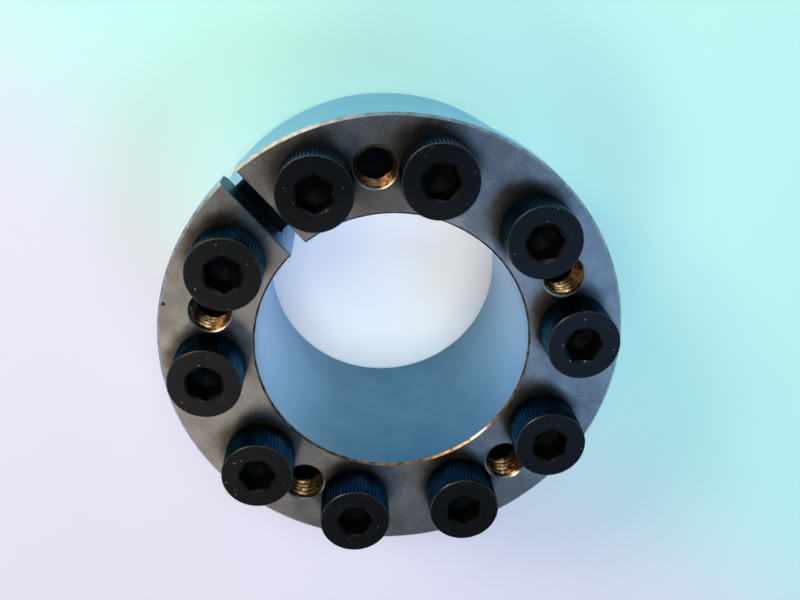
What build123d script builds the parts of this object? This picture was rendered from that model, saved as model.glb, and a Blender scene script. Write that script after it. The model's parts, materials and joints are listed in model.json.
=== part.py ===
from build123d import *
from math import radians, tan
import os

# A keyless locking assembly, which clamps a hub to a plain shaft by friction. Millimetres and degrees.
# The shaft axis is +Z, the screw heads are at the top and the origin is the centre of the rear face.
# The slit of the inner ring lies along +X.

# Shaft bore and the conical sleeve round it
bore_diameter = 50.8
sleeve_root_wall = 3.0  # sleeve wall where the cone runs into the flange
cone_half_angle = 2.5  # a self-locking taper, so the rings have to be jacked apart
cone_clearance = 0.12  # radial gap between the two cones before tightening

# Flange on the front of the inner ring
flange_thickness = 6.3
flange_overhang = 3.0  # how far the flange stands out past the outer ring
inner_slit_width = 3.5

# Outer ring
outer_ring_length = 35.3
inner_web = 1.23  # wall between a tapped hole and the wide end of the conical bore
outer_web = 2.15  # wall between a tapped hole and the outside
outer_slit_width = 3.0
draw_gap = 1.2  # open gap between the flange and the outer ring before tightening
draw_travel = 1.0  # how far the screws draw the outer ring towards the flange

# M8 socket head cap screws, and M8 jacking threads that push the rings apart again
screw_count = 10
thread_diameter = 8.0
thread_pitch = 1.25
minor_drop = 1.0825  # an ISO thread's minor diameter is smaller than its major one by this many pitches
screw_length = 30.0
head_diameter = 13.0
head_height = 8.0
head_edge_chamfer = 0.55
head_foot_chamfer = 0.3
socket_across_flats = 6.0
socket_depth = 4.5
socket_point_depth = 1.2  # cone that the punch leaves in the floor of the socket
socket_point_margin = 0.3  # flat left between that cone and the flats
socket_mouth_width = 0.55  # how far the countersink of the mouth stands out past the flats
socket_mouth_depth = 0.3
screw_hole_clearance = 0.5  # radial gap round a screw in the flange
tapped_clearance = 0.05  # radial running gap between a screw and its tapped hole
tip_room = 1.5  # free depth left under the end of a screw once the rings are drawn together
drill_point_depth = 2.4  # cone that the drill leaves under a tapped hole
jack_mouth_width = 0.05  # how far the countersink of a jacking thread stands out past the thread

# Turn of each hexagon socket from +X, where the ten screws happened to stop
socket_turns = [19, 19, 53, 49, 19, 19, 48, 57, 39, 19]

# Broken edges
flange_front_chamfer = 0.5
flange_rear_chamfer = 1.0
bore_front_chamfer = 0.35
bore_rear_chamfer = 0.5
body_front_chamfer = 0.6
body_rear_chamfer = 1.0
cone_mouth_chamfer = 0.6
slit_edge_chamfer = 0.2
screw_tip_chamfer = 1.0

# Radii and heights that follow from the sizes above
bore_radius = bore_diameter / 2
thread_radius = thread_diameter / 2
jack_radius = (thread_diameter - minor_drop * thread_pitch) / 2  # minor radius, with the thread left off
tapped_radius = thread_radius + tapped_clearance
cone_root = bore_radius + sleeve_root_wall
bolt_circle_radius = cone_root + cone_clearance + inner_web + tapped_radius
body_radius = bolt_circle_radius + tapped_radius + outer_web
flange_radius = body_radius + flange_overhang
flange_rear = outer_ring_length + draw_gap
flange_front = flange_rear + flange_thickness
tapped_depth = screw_length - flange_thickness - draw_gap + draw_travel + tip_room

# The slit of the inner ring lies midway between two screws. The jacking threads take every other gap
# between the screws, and the slit of the outer ring lies in one of the gaps that are left.
screw_spacing = 360 / screw_count
jack_count = screw_count // 2
first_screw_angle = screw_spacing / 2
first_jack_angle = screw_spacing
outer_slit_angle = 4 * screw_spacing


def cone_radius(height):
    """Radius of the sleeve's taper at a height: the cone widens towards the flange."""
    return cone_root - (flange_rear - height) * tan(radians(cone_half_angle))


def circles_at(part, height_group):
    """The circular edges at one height of a turned part, from the smallest to the largest."""
    return part.edges().filter_by(GeomType.CIRCLE).group_by(Axis.Z)[height_group].sort_by(SortBy.RADIUS)


# Inner ring: flange and conical sleeve turned from one piece, then drilled, tapped and slit
with BuildPart() as inner_ring:
    with BuildSketch(Plane.XZ):
        with BuildLine():
            Polyline(
                (bore_radius, 0),
                (cone_radius(0), 0),
                (cone_root, flange_rear),
                (flange_radius, flange_rear),
                (flange_radius, flange_front),
                (bore_radius, flange_front),
                close=True,
            )
        make_face()
    revolve(axis=Axis.Z)
    chamfer(circles_at(inner_ring, -2)[-1], flange_rear_chamfer)
    chamfer(circles_at(inner_ring, -1)[-1], flange_front_chamfer)
    chamfer(circles_at(inner_ring, -1)[0], bore_front_chamfer)
    chamfer(circles_at(inner_ring, 0)[0], bore_rear_chamfer)
    with Locations((0, 0, flange_front)):
        with PolarLocations(bolt_circle_radius, screw_count, start_angle=first_screw_angle):
            Hole(thread_radius + screw_hole_clearance, depth=flange_thickness)
        with PolarLocations(bolt_circle_radius, jack_count, start_angle=first_jack_angle):
            CounterSinkHole(
                jack_radius,
                thread_radius + jack_mouth_width,
                depth=flange_thickness,
                counter_sink_angle=90,
            )
    with BuildSketch(Plane.XY):
        with Locations((flange_radius, 0)):
            Rectangle(2 * flange_radius, inner_slit_width)
    extrude(amount=flange_front, mode=Mode.SUBTRACT)
    chamfer(inner_ring.edges().filter_by(Axis.X).group_by(Axis.Z)[-1], slit_edge_chamfer)

# Outer ring: straight outside for the hub, conical bore on the sleeve, tapped from the front and slit
with BuildPart() as outer_ring:
    with BuildSketch(Plane.XZ):
        with BuildLine():
            Polyline(
                (cone_radius(0) + cone_clearance, 0),
                (body_radius, 0),
                (body_radius, outer_ring_length),
                (cone_radius(outer_ring_length) + cone_clearance, outer_ring_length),
                close=True,
            )
        make_face()
    revolve(axis=Axis.Z)
    chamfer(circles_at(outer_ring, -1)[-1], body_front_chamfer)
    chamfer(circles_at(outer_ring, -1)[0], cone_mouth_chamfer)
    chamfer(circles_at(outer_ring, 0)[-1], body_rear_chamfer)
    with Locations((0, 0, outer_ring_length)):
        with PolarLocations(bolt_circle_radius, screw_count, start_angle=first_screw_angle):
            Hole(tapped_radius, depth=tapped_depth)
    with Locations((0, 0, outer_ring_length - tapped_depth)):
        with PolarLocations(bolt_circle_radius, screw_count, start_angle=first_screw_angle):
            Cone(
                0,
                tapped_radius,
                drill_point_depth,
                align=(Align.CENTER, Align.CENTER, Align.MAX),
                mode=Mode.SUBTRACT,
            )
    with BuildSketch(Plane.XY):
        with PolarLocations(body_radius, 1, start_angle=outer_slit_angle):
            Rectangle(2 * body_radius, outer_slit_width)
    extrude(amount=outer_ring_length, mode=Mode.SUBTRACT)


def cap_screw(seat, socket_turn):
    """A socket head cap screw whose head stands on the seat plane, with its hexagon turned."""
    with BuildPart(seat) as screw:
        Cylinder(head_diameter / 2, head_height, align=(Align.CENTER, Align.CENTER, Align.MIN))
        chamfer(circles_at(screw, -1)[-1], head_edge_chamfer)
        chamfer(circles_at(screw, 0)[-1], head_foot_chamfer)
        Cylinder(thread_radius, screw_length, align=(Align.CENTER, Align.CENTER, Align.MAX))
        chamfer(circles_at(screw, 0)[-1], screw_tip_chamfer)
        with BuildSketch(seat.offset(head_height)):
            RegularPolygon(socket_across_flats / 2, 6, major_radius=False, rotation=socket_turn)
        extrude(amount=-socket_depth, mode=Mode.SUBTRACT)
        with Locations((0, 0, head_height - socket_depth)):
            Cone(
                0,
                socket_across_flats / 2 - socket_point_margin,
                socket_point_depth,
                align=(Align.CENTER, Align.CENTER, Align.MAX),
                mode=Mode.SUBTRACT,
            )
        with Locations((0, 0, head_height)):
            Cone(
                socket_across_flats / 2,
                socket_across_flats / 2 + socket_mouth_width,
                socket_mouth_depth,
                align=(Align.CENTER, Align.CENTER, Align.MAX),
                mode=Mode.SUBTRACT,
            )
    return screw.part


os.makedirs("parts", exist_ok=True)
inner_ring.part.label = "inner_ring"
export_step(inner_ring.part, "parts/inner_ring.step")
outer_ring.part.label = "outer_ring"
export_step(outer_ring.part, "parts/outer_ring.step")

seats = PolarLocations(bolt_circle_radius, screw_count, start_angle=first_screw_angle, rotate=False)
for number, place in enumerate(seats, start=1):
    seat_plane = Plane(place.position + Vector(0, 0, flange_front))
    screw_part = cap_screw(seat_plane, socket_turns[(number - 1) % len(socket_turns)])
    screw_part.label = f"screw_{number:02d}"
    export_step(screw_part, f"parts/{screw_part.label}.step")
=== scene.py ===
import json
from math import atan2, cos, hypot, pi, radians, sin, tan

import bmesh
import bpy
from mathutils import Matrix, Vector


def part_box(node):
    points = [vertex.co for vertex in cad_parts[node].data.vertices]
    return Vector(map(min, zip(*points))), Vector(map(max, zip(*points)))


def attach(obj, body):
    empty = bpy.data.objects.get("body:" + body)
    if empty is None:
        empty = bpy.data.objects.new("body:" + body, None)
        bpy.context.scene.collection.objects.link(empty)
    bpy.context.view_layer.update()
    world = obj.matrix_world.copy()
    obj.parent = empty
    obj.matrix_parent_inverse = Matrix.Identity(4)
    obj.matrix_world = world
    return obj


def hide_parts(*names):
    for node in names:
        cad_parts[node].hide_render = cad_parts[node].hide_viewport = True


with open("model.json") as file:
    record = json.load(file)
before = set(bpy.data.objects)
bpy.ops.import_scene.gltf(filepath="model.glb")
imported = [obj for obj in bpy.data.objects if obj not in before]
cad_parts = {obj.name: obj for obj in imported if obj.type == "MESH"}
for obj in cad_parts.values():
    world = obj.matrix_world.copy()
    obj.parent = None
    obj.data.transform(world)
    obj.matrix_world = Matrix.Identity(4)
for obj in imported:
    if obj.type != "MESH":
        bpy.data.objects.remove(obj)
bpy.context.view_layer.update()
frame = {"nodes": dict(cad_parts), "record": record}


# ------------------------------------------------------------------------------------------------
# Inner ring: a flange and a conical sleeve turned in one piece from steel bar, drilled for ten
# screws, tapped for five jacking screws and slit along +X, so that it can close on the shaft.
# ------------------------------------------------------------------------------------------------

# Sizes are in millimetres. What the frame states is read from it.
mounts = {mount["name"]: mount for mount in frame["record"]["mounts"]}
ring_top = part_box("inner_ring")[1] * 1000
bore_radius = mounts["shaft_bore"]["dims"]["r_mm"]
bolt_circle_radius = mounts["jack_threads"]["dims"]["pcd_mm"] / 2
flange_radius = ring_top.y
flange_front = ring_top.z
flange_thickness = 6.3
flange_rear = flange_front - flange_thickness
cone_root = 28.4
cone_half_angle = radians(2.5)
front_chamfer = 0.5
rear_chamfer = 1.0
bore_front_chamfer = 0.35
bore_rear_chamfer = 0.5
slit_width = 3.5
slit_chamfer = 0.2
screw_hole_radius = 4.5
screw_count = 10
jack_count = 5
jack_mouth_radius = 4.05
thread_radius = 4.0
thread_minor_radius = mounts["jack_threads"]["dims"]["hole_r_mm"]
thread_pitch = 1.25

# How the shapes are made: steps round a turn, how far a cutter stands out of the steel, how close two
# points are that become one, and the angle from which an edge looks sharp
ring_steps = 240
jack_steps = 40
overshoot = 1.0
turned_weld = 1e-4
cut_weld = 1e-3
sharp_angle = radians(15)


def turned(outline, steps):
    """A solid turned round +Z from a closed outline of (radius, height) points."""
    bm = bmesh.new()
    verts = [bm.verts.new((radius, 0, height)) for radius, height in outline]
    for start, end in zip(verts, verts[1:] + verts[:1]):
        if hypot(start.co.x, end.co.x) > 0:
            bm.edges.new((start, end))
    bmesh.ops.spin(
        bm, geom=verts + bm.edges[:], cent=(0, 0, 0), axis=(0, 0, 1),
        angle=2 * pi, steps=steps, use_merge=True,
    )
    bmesh.ops.remove_doubles(bm, verts=bm.verts, dist=turned_weld)
    bmesh.ops.recalc_face_normals(bm, faces=bm.faces)
    return bm


def threaded(major, minor, bottom, top, steps):
    """A rod with a right-hand V thread round +Z, cut square at both ends."""
    crest = thread_pitch / 8
    root = thread_pitch / 4
    flank = (thread_pitch - crest - root) / 2
    heights = (0, root, root + flank, root + flank + crest, thread_pitch)
    radii = (minor, minor, major, major, minor)
    spare_turns = 2
    start = bottom - spare_turns * thread_pitch
    turns = int((top - start) / thread_pitch) + spare_turns
    bm = bmesh.new()
    verts = [bm.verts.new((radius, 0, start + height)) for radius, height in zip(radii, heights)]
    for lower, upper in zip(verts, verts[1:]):
        bm.edges.new((lower, upper))
    bmesh.ops.spin(
        bm, geom=verts + bm.edges[:], cent=(0, 0, 0), axis=(0, 0, 1),
        dvec=(0, 0, thread_pitch / steps), angle=2 * pi * turns, steps=steps * turns,
    )
    bmesh.ops.remove_doubles(bm, verts=bm.verts, dist=cut_weld)
    for height, side in ((top, 1), (bottom, -1)):
        cut = bmesh.ops.bisect_plane(
            bm, geom=bm.verts[:] + bm.edges[:] + bm.faces[:],
            plane_co=(0, 0, height), plane_no=(0, 0, side), clear_outer=True,
        )
        rim = [item for item in cut["geom_cut"] if isinstance(item, bmesh.types.BMEdge)]
        bmesh.ops.contextual_create(bm, geom=rim)
    bmesh.ops.recalc_face_normals(bm, faces=bm.faces)
    return bm


def rod(radius_low, radius_high, bottom, top, steps=64):
    """A round rod or cone along +Z."""
    bm = bmesh.new()
    bmesh.ops.create_cone(
        bm, cap_ends=True, segments=steps, radius1=radius_low, radius2=radius_high, depth=top - bottom,
        matrix=Matrix.Translation((0, 0, (top + bottom) / 2)),
    )
    return bm


def spaced_angles(count):
    """Angles of evenly spaced holes, with the first one half a space from +X."""
    return [pi / count + 2 * pi * number / count for number in range(count)]


def around(shape, count):
    """Evenly spaced copies of a shape on the bolt circle, joined in one mesh."""
    copies = bmesh.new()
    source = bpy.data.meshes.new("copy")
    shape.to_mesh(source)
    for angle in spaced_angles(count):
        place = Vector((bolt_circle_radius * cos(angle), bolt_circle_radius * sin(angle), 0))
        before = len(copies.verts)
        copies.from_mesh(source)
        bmesh.ops.translate(copies, vec=place, verts=copies.verts[before:])
    bpy.data.meshes.remove(source)
    return copies


def as_object(bm, name):
    """An object made from a bmesh, with its place in its mesh."""
    mesh = bpy.data.meshes.new(name)
    bm.to_mesh(mesh)
    bm.free()
    piece = bpy.data.objects.new(name, mesh)
    bpy.context.scene.collection.objects.link(piece)
    return piece


def machined(bm, name, cutters=(), additions=()):
    """A bmesh with other shapes joined to it, and others then cut out of it, one after another."""
    piece = as_object(bm, name)
    tools = []
    for operation, shapes in (("UNION", additions), ("DIFFERENCE", cutters)):
        for shape in shapes:
            tool = as_object(shape, "tool")
            step = piece.modifiers.new(operation, "BOOLEAN")
            step.operation = operation
            step.solver = "EXACT"
            step.object = tool
            tools.append(tool)
    finished = bmesh.new()
    finished.from_object(piece, bpy.context.evaluated_depsgraph_get())
    bmesh.ops.remove_doubles(finished, verts=finished.verts, dist=cut_weld)
    bmesh.ops.dissolve_degenerate(finished, edges=finished.edges, dist=cut_weld)
    bmesh.ops.holes_fill(finished, edges=finished.edges, sides=4)
    for leftover in tools + [piece]:
        mesh = leftover.data
        bpy.data.objects.remove(leftover)
        bpy.data.meshes.remove(mesh)
    return finished


def in_metres(bm, name, materials):
    """The finished object of a bmesh in millimetres, smooth between its sharp edges."""
    for face in bm.faces:
        face.smooth = True
    for edge in bm.edges:
        edge.smooth = edge.calc_face_angle(0) < sharp_angle
    bmesh.ops.scale(bm, vec=(0.001, 0.001, 0.001), verts=bm.verts)
    piece = as_object(bm, name)
    for material in materials:
        piece.data.materials.append(material)
    return piece


sleeve_end = cone_root - flange_rear * tan(cone_half_angle)
ring_outline = [
    (bore_radius + bore_rear_chamfer, 0),
    (sleeve_end, 0),
    (cone_root, flange_rear),
    (flange_radius - rear_chamfer, flange_rear),
    (flange_radius, flange_rear + rear_chamfer),
    (flange_radius, flange_front - front_chamfer),
    (flange_radius - front_chamfer, flange_front),
    (bore_radius + bore_front_chamfer, flange_front),
    (bore_radius, flange_front - bore_front_chamfer),
    (bore_radius, bore_rear_chamfer),
]
cut_bottom = flange_rear - overshoot
cut_top = flange_front + overshoot
screw_holes = around(rod(screw_hole_radius, screw_hole_radius, cut_bottom, cut_top), screw_count)
jack_threads = around(
    threaded(thread_radius, thread_minor_radius, cut_bottom, cut_top, jack_steps), jack_count
)

# The mouth of a jacking thread is a 45 degree cone, from just inside the thread to above the flange
inside_thread = 0.1
above_flange = 0.5
mouth_depth = jack_mouth_radius - thread_minor_radius + inside_thread
jack_mouth = rod(
    thread_minor_radius - inside_thread, jack_mouth_radius + above_flange,
    flange_front - mouth_depth, flange_front + above_flange,
)
jack_mouths = around(jack_mouth, jack_count)

# The slit is cut in its own section, with the chamfers of its front edges running on past the flange
slit = bmesh.new()
slit_section = [
    (-slit_width / 2, -overshoot),
    (slit_width / 2, -overshoot),
    (slit_width / 2, flange_front - slit_chamfer),
    (slit_width / 2 + 2 * slit_chamfer, flange_front + slit_chamfer),
    (-slit_width / 2 - 2 * slit_chamfer, flange_front + slit_chamfer),
    (-slit_width / 2, flange_front - slit_chamfer),
]
slit_face = slit.faces.new([slit.verts.new((0, side, height)) for side, height in slit_section])
slit_end = bmesh.ops.extrude_face_region(slit, geom=[slit_face])["geom"]
bmesh.ops.translate(
    slit, vec=(2 * flange_radius, 0, 0),
    verts=[item for item in slit_end if isinstance(item, bmesh.types.BMVert)],
)
bmesh.ops.recalc_face_normals(slit, faces=slit.faces)

inner = machined(
    turned(ring_outline, ring_steps), "inner_ring_body", [screw_holes, jack_threads, jack_mouths, slit]
)


def linear(colour):
    """Scene colour of an sRGB hex value."""
    parts = [int(colour[place:place + 2], 16) / 255 for place in (1, 3, 5)]
    return [part / 12.92 if part <= 0.04045 else ((part + 0.055) / 1.055) ** 2.4 for part in parts] + [1]


def add_node(material, kind, inputs, **settings):
    """Adds a shader node with its settings, values and links."""
    node = material.node_tree.nodes.new("ShaderNode" + kind)
    for name, value in settings.items():
        setattr(node, name, value)
    for socket, value in inputs.items():
        if isinstance(value, bpy.types.NodeSocket):
            material.node_tree.links.new(value, node.inputs[socket])
        else:
            node.inputs[socket].default_value = value
    return node


# A Mix node has several sockets of one name, so those for colours go by number: how much, the two
# colours, and the mixed one
mix_by, mix_a, mix_b, mixed = 0, 6, 7, 2


def new_material(name):
    """An empty material, and its place on the object in millimetres."""
    material = bpy.data.materials.new(name)
    material.use_nodes = True
    material.node_tree.nodes.clear()
    place = add_node(material, "TexCoord", {}).outputs["Object"]
    in_mm = add_node(material, "VectorMath", {0: place, 1: (1000, 1000, 1000)}, operation="MULTIPLY")
    return material, in_mm.outputs[0]


# Face-turned steel, left matt and lightly oiled: grey clouds, a fine grain and faint scuffs. The real
# grain and scuffs are finer than these, which are drawn wide enough to show
face_steel, spot = new_material("matt_turned_steel")
cloud_size = 6
grain_size = 0.4
scuff_width = 0.25
scuff_length = 5
scuff_angle = 0.9
bend_size = 20
bend_reach = (9, 9, 0)
clouds = add_node(
    face_steel, "TexNoise", {"Vector": spot, "Scale": 1 / cloud_size, "Detail": 5, "Roughness": 0.6}
)
tone = add_node(face_steel, "MapRange", {"Value": clouds.outputs[0], "From Min": 0.35, "From Max": 0.65})
colour = add_node(
    face_steel, "Mix", {mix_by: tone.outputs[0], mix_a: linear("#5c5957"), mix_b: linear("#73706c")},
    data_type="RGBA",
)
grain = add_node(
    face_steel, "TexNoise", {"Vector": spot, "Scale": 1 / grain_size, "Detail": 3, "Roughness": 0.6}
)
speckle = add_node(
    face_steel, "MapRange",
    {"Value": grain.outputs[0], "From Min": 0.3, "From Max": 0.7, "To Min": 0.75, "To Max": 1.25},
)
speckled = add_node(
    face_steel, "Mix", {mix_by: 1, mix_a: colour.outputs[mixed], mix_b: speckle.outputs[0]},
    data_type="RGBA", blend_type="MULTIPLY",
)
bend = add_node(face_steel, "TexNoise", {"Vector": spot, "Scale": 1 / bend_size})
bent = add_node(
    face_steel, "VectorMath", {0: bend.outputs[1], 1: bend_reach, 2: spot}, operation="MULTIPLY_ADD"
)
stretched = add_node(
    face_steel, "Mapping",
    {
        "Vector": bent.outputs[0], "Rotation": (0, 0, scuff_angle),
        "Scale": (1 / scuff_width, 1 / scuff_length, 1),
    },
)
scratches = add_node(face_steel, "TexNoise", {"Vector": stretched.outputs[0], "Scale": 1, "Detail": 2})
scuff = add_node(
    face_steel, "MapRange",
    {"Value": scratches.outputs[0], "From Min": 0.7, "From Max": 0.8, "To Min": 0, "To Max": 0.35},
)
scuffed = add_node(
    face_steel, "Mix",
    {mix_by: scuff.outputs[0], mix_a: speckled.outputs[mixed], mix_b: linear("#b4afa8")},
    data_type="RGBA",
)

# Painted contact shade round each screw head, where the head shades the face: ragged and shifted a little
# to one side. The face is folded on to half the sector of one screw, so that one ring of shade is drawn for
# all ten
shade_offset = (1.1, -0.5, 0)
half_sector = pi / screw_count
shade_radius = 7.6
shade_fade = 10.2
raggedness = 3  # how far the clouds can move the edge of the painted shade inwards
run = add_node(face_steel, "VectorMath", {0: spot, 1: shade_offset}, operation="SUBTRACT")
level = add_node(face_steel, "VectorMath", {0: run.outputs[0], 1: (1, 1, 0)}, operation="MULTIPLY")
from_axis = add_node(face_steel, "VectorMath", {0: level.outputs[0]}, operation="LENGTH")
sides = add_node(face_steel, "SeparateXYZ", {0: run.outputs[0]})
angle = add_node(face_steel, "Math", {0: sides.outputs["Y"], 1: sides.outputs["X"]}, operation="ARCTAN2")
from_gap = add_node(face_steel, "Math", {0: angle.outputs[0], 1: half_sector}, operation="PINGPONG")
from_screw = add_node(face_steel, "Math", {0: half_sector, 1: from_gap.outputs[0]}, operation="SUBTRACT")
sine = add_node(face_steel, "Math", {0: from_screw.outputs[0]}, operation="SINE")
cosine = add_node(face_steel, "Math", {0: from_screw.outputs[0]}, operation="COSINE")
across = add_node(
    face_steel, "Math", {0: from_axis.outputs["Value"], 1: sine.outputs[0]}, operation="MULTIPLY"
)
along = add_node(
    face_steel, "Math", {0: from_axis.outputs["Value"], 1: cosine.outputs[0]}, operation="MULTIPLY"
)
folded = add_node(face_steel, "CombineXYZ", {"X": along.outputs[0], "Y": across.outputs[0]})
to_screw = add_node(
    face_steel, "VectorMath", {0: folded.outputs[0], 1: (bolt_circle_radius, 0, 0)}, operation="DISTANCE"
)
ragged = add_node(
    face_steel, "Math", {0: clouds.outputs[0], 1: raggedness, 2: to_screw.outputs["Value"]},
    operation="MULTIPLY_ADD",
)
contact_shade = add_node(
    face_steel, "MapRange",
    {
        "Value": ragged.outputs[0], "From Min": shade_radius, "From Max": shade_fade,
        "To Min": 0.78, "To Max": 0,
    },
    interpolation_type="SMOOTHSTEP",
)
contact_shaded = add_node(
    face_steel, "Mix", {mix_by: contact_shade.outputs[0], mix_a: scuffed.outputs[mixed], mix_b: linear("#1d1917")},
    data_type="RGBA",
)

# A patch of painted shade beside one jacking hole, and one small pit
shade_patch_place = (24.5, -17.8, flange_front)
shade_patch_radius = 4
shade_patch_fade = 14
pit_place = (34, 24.9, flange_front)
pit_radius = 0.3
pit_fade = 0.45
to_shade_patch = add_node(face_steel, "VectorMath", {0: spot, 1: shade_patch_place}, operation="DISTANCE")
shade_patch = add_node(
    face_steel, "MapRange",
    {
        "Value": to_shade_patch.outputs["Value"], "From Min": shade_patch_radius, "From Max": shade_patch_fade,
        "To Min": 0.6, "To Max": 0,
    },
    interpolation_type="SMOOTHSTEP",
)
shade_patched = add_node(
    face_steel, "Mix",
    {mix_by: shade_patch.outputs[0], mix_a: contact_shaded.outputs[mixed], mix_b: linear("#2a211b")},
    data_type="RGBA",
)
to_pit = add_node(face_steel, "VectorMath", {0: spot, 1: pit_place}, operation="DISTANCE")
pit = add_node(
    face_steel, "MapRange",
    {
        "Value": to_pit.outputs["Value"], "From Min": pit_radius, "From Max": pit_fade,
        "To Min": 0.9, "To Max": 0,
    },
)
pitted = add_node(
    face_steel, "Mix", {mix_by: pit.outputs[0], mix_a: shade_patched.outputs[mixed], mix_b: linear("#1c1512")},
    data_type="RGBA",
)
gloss = add_node(
    face_steel, "MapRange",
    {"Value": grain.outputs[0], "From Min": 0.3, "From Max": 0.7, "To Min": 0.33, "To Max": 0.43},
)
relief = add_node(face_steel, "Bump", {"Strength": 0.35, "Distance": 0.00003, "Height": grain.outputs[0]})
surface = add_node(
    face_steel, "BsdfPrincipled",
    {
        "Base Color": pitted.outputs[mixed], "Metallic": 1, "Roughness": gloss.outputs[0],
        "Normal": relief.outputs[0],
    },
)
add_node(face_steel, "OutputMaterial", {"Surface": surface.outputs[0]})

# Finish-turned steel, on the rim, the taper and the back of the flange: smoother, faintly cloudy, with
# a few rubs and the fine rings of the tool, which are drawn wider than real ones so that they show
side_steel, spot = new_material("finish_turned_steel")
ring_spacing = 0.3
cloud_size = 8
rub_width = 2.5
rub_height = 0.3
side_height = add_node(side_steel, "SeparateXYZ", {0: spot})
feed = add_node(side_steel, "CombineXYZ", {"Z": side_height.outputs["Z"]})
feed_marks = add_node(
    side_steel, "TexNoise", {"Vector": feed.outputs[0], "Scale": 1 / ring_spacing, "Detail": 2}
)
clouds = add_node(
    side_steel, "TexNoise", {"Vector": spot, "Scale": 1 / cloud_size, "Detail": 4, "Roughness": 0.6}
)
tone = add_node(side_steel, "MapRange", {"Value": clouds.outputs[0], "From Min": 0.35, "From Max": 0.65})
colour = add_node(
    side_steel, "Mix", {mix_by: tone.outputs[0], mix_a: linear("#7bb4dc"), mix_b: linear("#86bfe2")},
    data_type="RGBA",
)
rubs = add_node(
    side_steel, "Mapping", {"Vector": spot, "Scale": (1 / rub_width, 1 / rub_width, 1 / rub_height)}
)
rub_noise = add_node(side_steel, "TexNoise", {"Vector": rubs.outputs[0], "Scale": 1, "Detail": 2})
rub = add_node(
    side_steel, "MapRange",
    {"Value": rub_noise.outputs[0], "From Min": 0.66, "From Max": 0.72, "To Min": 0, "To Max": 0.5},
)
rubbed = add_node(
    side_steel, "Mix", {mix_by: rub.outputs[0], mix_a: colour.outputs[mixed], mix_b: linear("#5d7488")},
    data_type="RGBA",
)
relief = add_node(
    side_steel, "Bump", {"Strength": 0.3, "Distance": 0.00003, "Height": feed_marks.outputs[0]}
)
side_surface = add_node(
    side_steel, "BsdfPrincipled",
    {"Base Color": rubbed.outputs[mixed], "Metallic": 1, "Roughness": 0.34, "Normal": relief.outputs[0]},
)
add_node(side_steel, "OutputMaterial", {"Surface": side_surface.outputs[0]})

# Bored steel: smooth, with the fine rings that the boring tool leaves, again drawn wide enough to show.
# Painted shade darkens it on one side, and painted light brightens the other side
bore_steel, spot = new_material("bored_steel")
shaded_side_angle = radians(145)
height = add_node(bore_steel, "SeparateXYZ", {0: spot})
feed = add_node(bore_steel, "CombineXYZ", {"Z": height.outputs["Z"]})
feed_marks = add_node(
    bore_steel, "TexNoise", {"Vector": feed.outputs[0], "Scale": 1 / ring_spacing, "Detail": 2}
)
clouds = add_node(
    bore_steel, "TexNoise", {"Vector": spot, "Scale": 1 / cloud_size, "Detail": 4, "Roughness": 0.6}
)
tone = add_node(bore_steel, "MapRange", {"Value": clouds.outputs[0], "From Min": 0.35, "From Max": 0.65})
shaded_clouds = add_node(
    bore_steel, "Mix", {mix_by: tone.outputs[0], mix_a: linear("#40728d"), mix_b: linear("#4b7e96")},
    data_type="RGBA",
)
shaded_side = Vector((cos(shaded_side_angle), sin(shaded_side_angle), 0)) / bore_radius
side = add_node(bore_steel, "VectorMath", {0: spot, 1: shaded_side}, operation="DOT_PRODUCT")
lit_side = add_node(bore_steel, "MapRange", {"Value": side.outputs["Value"], "From Min": 0.85, "From Max": 0})
colour = add_node(
    bore_steel, "Mix", {mix_by: lit_side.outputs[0], mix_a: shaded_clouds.outputs[mixed], mix_b: linear("#7fb8e2")},
    data_type="RGBA",
)
relief = add_node(
    bore_steel, "Bump", {"Strength": 0.3, "Distance": 0.00003, "Height": feed_marks.outputs[0]}
)
surface = add_node(
    bore_steel, "BsdfPrincipled",
    {"Base Color": colour.outputs[mixed], "Metallic": 1, "Roughness": 0.27, "Normal": relief.outputs[0]},
)
add_node(bore_steel, "OutputMaterial", {"Surface": surface.outputs[0]})

# Sawn steel, on the walls of the slit: ribbed by the saw, with painted shade darkening it towards the
# outside
slit_steel, spot = new_material("sawn_steel")
saw_mark = 0.4
saw_stroke = 12
slit_shade_start = 27
slit_shade_full = 32
ribs = add_node(slit_steel, "Mapping", {"Vector": spot, "Scale": (1 / saw_mark, 1, 1 / saw_stroke)})
saw_marks = add_node(slit_steel, "TexNoise", {"Vector": ribs.outputs[0], "Scale": 1, "Detail": 3})
level = add_node(slit_steel, "VectorMath", {0: spot, 1: (1, 1, 0)}, operation="MULTIPLY")
from_axis = add_node(slit_steel, "VectorMath", {0: level.outputs[0]}, operation="LENGTH")
shade_mask = add_node(
    slit_steel, "MapRange",
    {"Value": from_axis.outputs["Value"], "From Min": slit_shade_start, "From Max": slit_shade_full},
)
colour = add_node(
    slit_steel, "Mix", {mix_by: shade_mask.outputs[0], mix_a: linear("#7fb2d2"), mix_b: linear("#3f6173")},
    data_type="RGBA",
)
shade = add_node(
    slit_steel, "MapRange",
    {"Value": saw_marks.outputs[0], "From Min": 0.3, "From Max": 0.7, "To Min": 0.7, "To Max": 1.2},
)
ribbed = add_node(
    slit_steel, "Mix", {mix_by: 1, mix_a: colour.outputs[mixed], mix_b: shade.outputs[0]},
    data_type="RGBA", blend_type="MULTIPLY",
)
relief = add_node(
    slit_steel, "Bump", {"Strength": 0.4, "Distance": 0.00005, "Height": saw_marks.outputs[0]}
)
surface = add_node(
    slit_steel, "BsdfPrincipled",
    {"Base Color": ribbed.outputs[mixed], "Metallic": 1, "Roughness": 0.36, "Normal": relief.outputs[0]},
)
add_node(slit_steel, "OutputMaterial", {"Surface": surface.outputs[0]})


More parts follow.
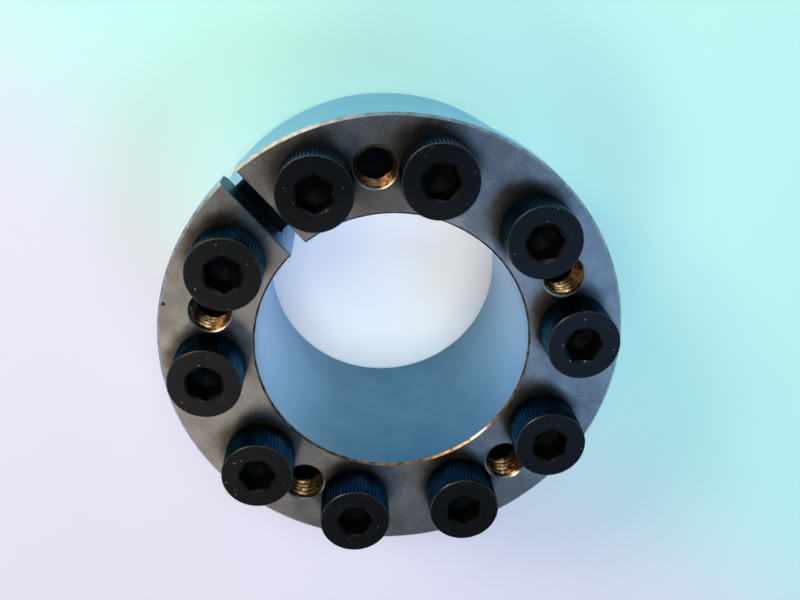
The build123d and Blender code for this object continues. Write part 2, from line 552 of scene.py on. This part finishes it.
# Broken edges, a little uneven: bright on the rim and the slit, and brown with old oil at the front of
# the bore
def edge_finish(name, dull, bright):
    """Steel of an edge that a scraper has broken, from its duller and its brighter colour."""
    steel, spot = new_material(name)
    nick_size = 1.2
    nicks = add_node(steel, "TexNoise", {"Vector": spot, "Scale": 1 / nick_size, "Detail": 3})
    tone = add_node(steel, "MapRange", {"Value": nicks.outputs[0], "From Min": 0.35, "From Max": 0.65})
    colour = add_node(
        steel, "Mix", {mix_by: tone.outputs[0], mix_a: linear(dull), mix_b: linear(bright)},
        data_type="RGBA",
    )
    surface = add_node(
        steel, "BsdfPrincipled", {"Base Color": colour.outputs[mixed], "Metallic": 1, "Roughness": 0.36}
    )
    add_node(steel, "OutputMaterial", {"Surface": surface.outputs[0]})
    return steel


edge_steel = edge_finish("bright_edge_steel", "#8c9093", "#b8babb")
bore_edge_steel = edge_finish("oiled_edge_steel", "#4b3426", "#a98563")

# Tapped threads, with a brown film of cutting oil that has gathered in patches, and a wiped grey mouth
thread_steel, spot = new_material("oiled_thread_steel")
patch_size = 0.8
wiped_depth = 0.25
patches = add_node(thread_steel, "TexNoise", {"Vector": spot, "Scale": 1 / patch_size, "Detail": 3})
tone = add_node(thread_steel, "MapRange", {"Value": patches.outputs[0], "From Min": 0.35, "From Max": 0.7})
colour = add_node(
    thread_steel, "Mix", {mix_by: tone.outputs[0], mix_a: linear("#2a1d15"), mix_b: linear("#8f6a45")},
    data_type="RGBA",
)
height = add_node(thread_steel, "SeparateXYZ", {0: spot})
at_rim = add_node(
    thread_steel, "Math", {0: height.outputs["Z"], 1: flange_front - wiped_depth}, operation="GREATER_THAN"
)
rimmed = add_node(
    thread_steel, "Mix",
    {mix_by: at_rim.outputs[0], mix_a: colour.outputs[mixed], mix_b: linear("#a9abaa")},
    data_type="RGBA",
)
surface = add_node(
    thread_steel, "BsdfPrincipled",
    {"Base Color": rimmed.outputs[mixed], "Metallic": 1, "Roughness": 0.28},
)
add_node(thread_steel, "OutputMaterial", {"Surface": surface.outputs[0]})

# Each face gets the finish of the tool that made it, by its place and by the rise of its normal, which
# is 0.71 on a chamfer
ring_finishes = [face_steel, side_steel, bore_steel, edge_steel, thread_steel, slit_steel, bore_edge_steel]
jack_centres = [
    Vector((bolt_circle_radius * cos(angle), bolt_circle_radius * sin(angle)))
    for angle in spaced_angles(jack_count)
]
chamfer_low, chamfer_high = 0.6, 0.8
thread_rise = 0.95
flat_rise = 0.9
upright_rise = 0.01
slit_wall_turn = 0.99
jack_margin, bore_margin, slit_margin = 0.1, 0.02, 0.01
for face in inner.faces:
    centre = face.calc_center_median()
    radius = hypot(centre.x, centre.y)
    rise = face.normal.z
    off_slit = abs(centre.y)
    to_jack = min((centre.xy - jack).length for jack in jack_centres)
    if to_jack < jack_mouth_radius + jack_margin and abs(rise) < thread_rise:
        finish = thread_steel
    elif chamfer_low < abs(rise) < chamfer_high:
        at_bore = radius < bore_radius + bore_front_chamfer and off_slit > slit_width / 2 + slit_chamfer
        finish = bore_edge_steel if rise > 0 and at_bore else edge_steel
    elif radius < bore_radius + bore_margin and abs(rise) < upright_rise:
        finish = bore_steel
    elif centre.x > 0 and off_slit < slit_width / 2 + slit_margin and abs(face.normal.y) > slit_wall_turn:
        finish = slit_steel
    elif rise < flat_rise:
        finish = side_steel
    else:
        finish = face_steel
    face.material_index = ring_finishes.index(finish)

inner_ring = in_metres(inner, "inner_ring_turned", ring_finishes)
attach(inner_ring, "inner_ring")
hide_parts("inner_ring")


# ------------------------------------------------------------------------------------------------
# Outer ring: straight outside for the hub and a conical bore, turned from the same steel, tapped
# for the screws and slit. Its own shape is right, so it only gets its finish.
# ------------------------------------------------------------------------------------------------

# The same finish-turned steel, with painted shade making it dark on the front, where the flange covers it
covered_steel = side_steel.copy()
covered_steel.name = "shaded_turned_steel"
height = covered_steel.node_tree.nodes[side_height.name]
surface = covered_steel.node_tree.nodes[side_surface.name]
plain_colour = surface.inputs["Base Color"].links[0].from_socket
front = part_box("outer_ring")[1].z * 1000
unshaded_depth = 0.75
shaded_depth = 0.6
shade_mask = add_node(
    covered_steel, "MapRange",
    {
        "Value": height.outputs["Z"], "From Min": front - unshaded_depth, "From Max": front - shaded_depth,
        "To Min": 0, "To Max": 0.99,
    },
)
colour = add_node(
    covered_steel, "Mix", {mix_by: shade_mask.outputs[0], mix_a: plain_colour, mix_b: linear("#0c0e0f")},
    data_type="RGBA",
)
covered_steel.node_tree.links.new(colour.outputs[mixed], surface.inputs["Base Color"])

outer_ring = frame["nodes"]["outer_ring"]
outer_ring.data.materials.clear()
outer_ring.data.materials.append(covered_steel)


# ------------------------------------------------------------------------------------------------
# Screws: ten M8 x 30 socket head cap screws, cold headed with a knurled side, rolled thread and a
# black oxide finish, tightened so that their hexagons stopped at different angles.
# ------------------------------------------------------------------------------------------------

# The head's radius is over the crests of the knurl. Its top edge is broken, and rounded a little at both
# ends of the chamfer, by edge_flat
screw_length = 30.0
head_radius = 6.62
head_height = 8.0
head_chamfer = 0.15
edge_flat = 0.03
foot_chamfer = 0.3
knurl_bottom = 0.5
knurl_top = 7.55
knurl_depth = 0.17
ridge_count = 60
neck_length = 1.6
neck_overlap = 0.4
thread_allowance = 0.03
shank_minor_radius = 3.233
shank_steps = 32
tip_chamfer = 1.0
hexagon_across_flats = 6.0
hexagon_sides = 6
hexagon_radius = hexagon_across_flats / 2 / cos(pi / hexagon_sides)
socket_depth = 4.5
socket_floor = head_height - socket_depth
socket_point_radius = 2.7
socket_point_depth = 1.2
socket_bottom = socket_floor - socket_point_depth
punch_tip_radius = 0.05
punch_overlap = 0.05
mouth_radius = 3.55
mouth_cone_depth = 0.3
mouth_width = 0.55
mouth_steps = 96
point_steps = 48
hexagon_turns = (19, 19, 53, 49, 19, 19, 48, 57, 39, 19)

plain_radius = head_radius - knurl_depth / 4
chamfer_foot = head_height - head_chamfer
head_outline = [
    (0, -neck_length),
    (thread_radius, -neck_length),
    (thread_radius, 0),
    (head_radius - foot_chamfer - knurl_depth, 0),
    (head_radius - knurl_depth, foot_chamfer),
    (head_radius, knurl_bottom),
    (head_radius, knurl_top),
    (plain_radius, knurl_top + knurl_depth),
    (plain_radius, chamfer_foot - edge_flat),
    (plain_radius - edge_flat / 2, chamfer_foot + edge_flat / 2),
    (plain_radius - head_chamfer + edge_flat / 2, head_height - edge_flat / 2),
    (plain_radius - head_chamfer - edge_flat, head_height),
    (0, head_height),
]
head = turned(head_outline, 4 * ridge_count)

# Each ridge of the knurl has four columns of points, and two of them sink in to make its groove
knurl_margin = 0.01
for vert in head.verts:
    column = round(atan2(vert.co.y, vert.co.x) / (pi / (2 * ridge_count)))
    if knurl_bottom - knurl_margin < vert.co.z < knurl_top + knurl_margin and column % 4 >= 2:
        vert.co.xy *= (head_radius - knurl_depth) / head_radius

shank = threaded(
    thread_radius - thread_allowance, shank_minor_radius,
    -screw_length, neck_overlap - neck_length, shank_steps,
)
for vert in shank.verts:
    reach = thread_radius - tip_chamfer + (vert.co.z + screw_length)
    radius = hypot(vert.co.x, vert.co.y)
    if radius > reach:
        vert.co.xy *= reach / radius

hexagon = rod(hexagon_radius, hexagon_radius, socket_floor, head_height + overshoot, hexagon_sides)
bmesh.ops.rotate(hexagon, cent=(0, 0, 0), matrix=Matrix.Rotation(pi / 2, 3, "Z"), verts=hexagon.verts)
mouth = rod(
    mouth_radius - mouth_width, mouth_radius + mouth_width,
    head_height - mouth_cone_depth, head_height + mouth_cone_depth, mouth_steps,
)
socket_point = rod(
    punch_tip_radius, socket_point_radius, socket_bottom, socket_floor + punch_overlap, point_steps
)
pattern = machined(head, "screw", [hexagon, mouth, socket_point], [shank])

# Black oxide, on the top and the shank: near-black and oiled, with a few specks rubbed bright
black_oxide, spot = new_material("oiled_black_oxide")
speck_size = 0.45
dots = add_node(black_oxide, "TexNoise", {"Vector": spot, "Scale": 1 / speck_size, "Detail": 1})
speck = add_node(black_oxide, "MapRange", {"Value": dots.outputs[0], "From Min": 0.755, "From Max": 0.79})
colour = add_node(
    black_oxide, "Mix", {mix_by: speck.outputs[0], mix_a: linear("#0a0c0e"), mix_b: linear("#9c8a76")},
    data_type="RGBA",
)
surface = add_node(
    black_oxide, "BsdfPrincipled",
    {
        "Base Color": colour.outputs[mixed], "Metallic": speck.outputs[0], "Roughness": 0.34,
        "Specular IOR Level": 0.07,
    },
)
add_node(black_oxide, "OutputMaterial", {"Surface": surface.outputs[0]})

# The same oxide on the knurl: wiped dry, so it mirrors its surroundings blue-black, and with painted shade
# making it darker towards the foot, next to the flange
knurl_oxide, spot = new_material("dry_black_oxide")
wear_size = 1.5
foot_shade_start = flange_front + 0.5
foot_shade_end = flange_front + 4
wear = add_node(knurl_oxide, "TexNoise", {"Vector": spot, "Scale": 1 / wear_size, "Detail": 3})
tone = add_node(knurl_oxide, "MapRange", {"Value": wear.outputs[0], "From Min": 0.35, "From Max": 0.65})
colour = add_node(
    knurl_oxide, "Mix", {mix_by: tone.outputs[0], mix_a: linear("#0b2338"), mix_b: linear("#15374f")},
    data_type="RGBA",
)
height = add_node(knurl_oxide, "SeparateXYZ", {0: spot})
foot_shade = add_node(
    knurl_oxide, "MapRange",
    {
        "Value": height.outputs["Z"], "From Min": foot_shade_start, "From Max": foot_shade_end,
        "To Min": 0.85, "To Max": 0,
    },
)
foot_shaded = add_node(
    knurl_oxide, "Mix", {mix_by: foot_shade.outputs[0], mix_a: colour.outputs[mixed], mix_b: linear("#0a0b0b")},
    data_type="RGBA",
)
surface = add_node(
    knurl_oxide, "BsdfPrincipled",
    {
        "Base Color": foot_shaded.outputs[mixed], "Metallic": 1, "Roughness": 0.2,
        "Specular Tint": linear("#c2deee"),
    },
)
add_node(knurl_oxide, "OutputMaterial", {"Surface": surface.outputs[0]})

# The same oxide in the socket, darker and duller: painted shade in the recess
socket_oxide, spot = new_material("shaded_socket_oxide")
smear_size = 1.5
stains = add_node(socket_oxide, "TexNoise", {"Vector": spot, "Scale": 1 / smear_size, "Detail": 2})
tone = add_node(socket_oxide, "MapRange", {"Value": stains.outputs[0], "From Min": 0.4, "From Max": 0.65})
colour = add_node(
    socket_oxide, "Mix", {mix_by: tone.outputs[0], mix_a: linear("#050606"), mix_b: linear("#0d0b0a")},
    data_type="RGBA",
)
surface = add_node(
    socket_oxide, "BsdfPrincipled",
    {"Base Color": colour.outputs[mixed], "Roughness": 0.5, "Specular IOR Level": 0.04},
)
add_node(socket_oxide, "OutputMaterial", {"Surface": surface.outputs[0]})

# Edges where the oxide has rubbed through to brown steel here and there
rubbed_oxide, spot = new_material("rubbed_black_oxide")
rub_size = 1.5
rubs = add_node(rubbed_oxide, "TexNoise", {"Vector": spot, "Scale": 1 / rub_size, "Detail": 2})
bare = add_node(rubbed_oxide, "MapRange", {"Value": rubs.outputs[0], "From Min": 0.48, "From Max": 0.66})
colour = add_node(
    rubbed_oxide, "Mix", {mix_by: bare.outputs[0], mix_a: linear("#0a0c0e"), mix_b: linear("#3f352b")},
    data_type="RGBA",
)
surface = add_node(
    rubbed_oxide, "BsdfPrincipled",
    {"Base Color": colour.outputs[mixed], "Metallic": bare.outputs[0], "Roughness": 0.3},
)
add_node(rubbed_oxide, "OutputMaterial", {"Surface": surface.outputs[0]})

screw_finishes = [black_oxide, knurl_oxide, rubbed_oxide, socket_oxide]
for face in pattern.faces:
    centre = face.calc_center_median()
    radius = hypot(centre.x, centre.y)
    if centre.z > chamfer_foot - edge_flat and radius > plain_radius - head_chamfer - edge_flat:
        finish = rubbed_oxide
    elif 0 < centre.z < chamfer_foot and radius > head_radius - foot_chamfer - knurl_depth:
        finish = knurl_oxide
    elif socket_bottom < centre.z < head_height - mouth_cone_depth / 2:
        finish = socket_oxide
    else:
        finish = black_oxide
    face.material_index = screw_finishes.index(finish)

for number, turn in enumerate(hexagon_turns, start=1):
    name = f"screw_{number:02d}"
    low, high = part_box(name)
    seat = Vector(((low.x + high.x) / 2, (low.y + high.y) / 2, high.z)) * 1000 - Vector((0, 0, head_height))
    copy = pattern.copy()
    bmesh.ops.rotate(copy, cent=(0, 0, 0), matrix=Matrix.Rotation(radians(turn), 3, "Z"), verts=copy.verts)
    bmesh.ops.translate(copy, vec=seat, verts=copy.verts)
    screw = in_metres(copy, f"cap_screw_{number:02d}", screw_finishes)
    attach(screw, name)
    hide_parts(name)


# ------------------------------------------------------------------------------------------------
# Studio: a round table covered with pale paper, a pale room, soft lights and the camera. They
# aren't part of the object.
# ------------------------------------------------------------------------------------------------

table_radius = 450
table = bmesh.new()
bmesh.ops.create_circle(table, cap_ends=True, segments=128, radius=table_radius)

# Matt paper: two pale tints of painted cyan and lilac light that run softly into each other, and a white
# pool of painted light under the bore
paper, spot = new_material("matt_paper")
tint_width = 65
tint_angle = radians(-101)
tint_shift = (-0.2, 0, 0)
bore_light_radius = 26
bore_light_fade = 38
across = add_node(
    paper, "Mapping",
    {
        "Vector": spot, "Location": tint_shift, "Rotation": (0, 0, tint_angle),
        "Scale": (1 / tint_width, 1 / tint_width, 1),
    },
)
side = add_node(paper, "SeparateXYZ", {0: across.outputs[0]})
blend = add_node(
    paper, "MapRange", {"Value": side.outputs["X"], "From Min": -0.5, "From Max": 0.5},
    interpolation_type="SMOOTHSTEP",
)
colour = add_node(
    paper, "Mix", {mix_by: blend.outputs[0], mix_a: linear("#c4f4ea"), mix_b: linear("#e8dfea")},
    data_type="RGBA",
)
from_axis = add_node(paper, "VectorMath", {0: spot}, operation="LENGTH")
bore_light = add_node(
    paper, "MapRange",
    {
        "Value": from_axis.outputs["Value"], "From Min": bore_light_radius, "From Max": bore_light_fade,
        "To Min": 1, "To Max": 0,
    },
    interpolation_type="SMOOTHSTEP",
)
lit_paper = add_node(
    paper, "Mix", {mix_by: bore_light.outputs[0], mix_a: colour.outputs[mixed], mix_b: linear("#fbfbfc")},
    data_type="RGBA",
)
surface = add_node(paper, "BsdfPrincipled", {"Base Color": lit_paper.outputs[mixed], "Roughness": 0.7})
add_node(paper, "OutputMaterial", {"Surface": surface.outputs[0]})
floor = in_metres(table, "table", [paper])

# Pale walls all round near the height of the table, and a dark ceiling
room = bpy.data.worlds.new("room")
room.use_nodes = True
towards = add_node(room, "TexCoord", {})
rise = add_node(room, "SeparateXYZ", {0: towards.outputs["Generated"]})
ceiling = add_node(
    room, "MapRange", {"Value": rise.outputs["Z"], "From Min": 0.15, "From Max": 0.5},
    interpolation_type="SMOOTHSTEP",
)
walls = add_node(
    room, "Mix", {mix_by: ceiling.outputs[0], mix_a: linear("#a9cfe6"), mix_b: linear("#16191c")},
    data_type="RGBA",
)
room.node_tree.links.new(walls.outputs[mixed], room.node_tree.nodes["Background"].inputs["Color"])
bpy.context.scene.world = room

middle = Vector((0, 0, flange_front / 2000))


def soft_box(name, angle, elevation, distance, width, height, colour, power):
    """An area light in degrees, metres and watts, which looks at the middle of the rings."""
    light = bpy.data.lights.new(name, "AREA")
    light.shape = "RECTANGLE"
    light.size = width
    light.size_y = height
    light.color = linear(colour)[:3]
    light.energy = power
    lamp = bpy.data.objects.new(name, light)
    round_axis = Matrix.Rotation(radians(angle), 3, "Z")
    upwards = Matrix.Rotation(-radians(elevation), 3, "Y")
    away = round_axis @ upwards @ Vector((1, 0, 0))
    lamp.location = middle + distance * away
    lamp.rotation_euler = away.to_track_quat("Z", "Y").to_euler()
    lamp.visible_camera = False
    bpy.context.scene.collection.objects.link(lamp)


soft_box("main", -42, 58, 1.2, 0.6, 0.3, "#dcf3ff", 7.0)
soft_box("window", 5, 36, 1.4, 0.5, 0.35, "#ffe9cc", 7.6)
soft_box("lamp", 55, 60, 0.8, 0.35, 0.3, "#fff0c0", 0.5)
soft_box("golden_low", -3, 19, 0.5, 0.35, 0.08, "#ffd9a0", 0.6)
soft_box("left", 100, 58, 0.8, 0.3, 0.25, "#fff6ec", 1.55)
soft_box("front", 145, 40, 0.8, 0.4, 0.3, "#f5f8ff", 0.15)
soft_box("right", 190, 62, 0.8, 0.35, 0.25, "#94c6ff", 2.0)

# A narrow lamp straight above lights the table through the bore
beam = bpy.data.lights.new("beam", "SPOT")
beam.energy = 4.2
beam.color = linear("#fff6f0")[:3]
beam.spot_size = radians(6.2)
beam.spot_blend = 0.1
beam.shadow_soft_size = 0.01
beam_lamp = bpy.data.objects.new("beam", beam)
beam_lamp.location = (0, 0, 0.5)
bpy.context.scene.collection.objects.link(beam_lamp)

camera = bpy.data.cameras.new("camera")
camera.lens = 39.1
camera.sensor_width = 36
camera.clip_start = 0.01
eye = bpy.data.objects.new("camera", camera)
eye.location = (0.056147, -0.038677, 0.18897)
eye.rotation_euler = (radians(-21.81), radians(-3.445), radians(-130.84))
bpy.context.scene.collection.objects.link(eye)
bpy.context.scene.camera = eye
bpy.context.scene.view_settings.view_transform = "Standard"
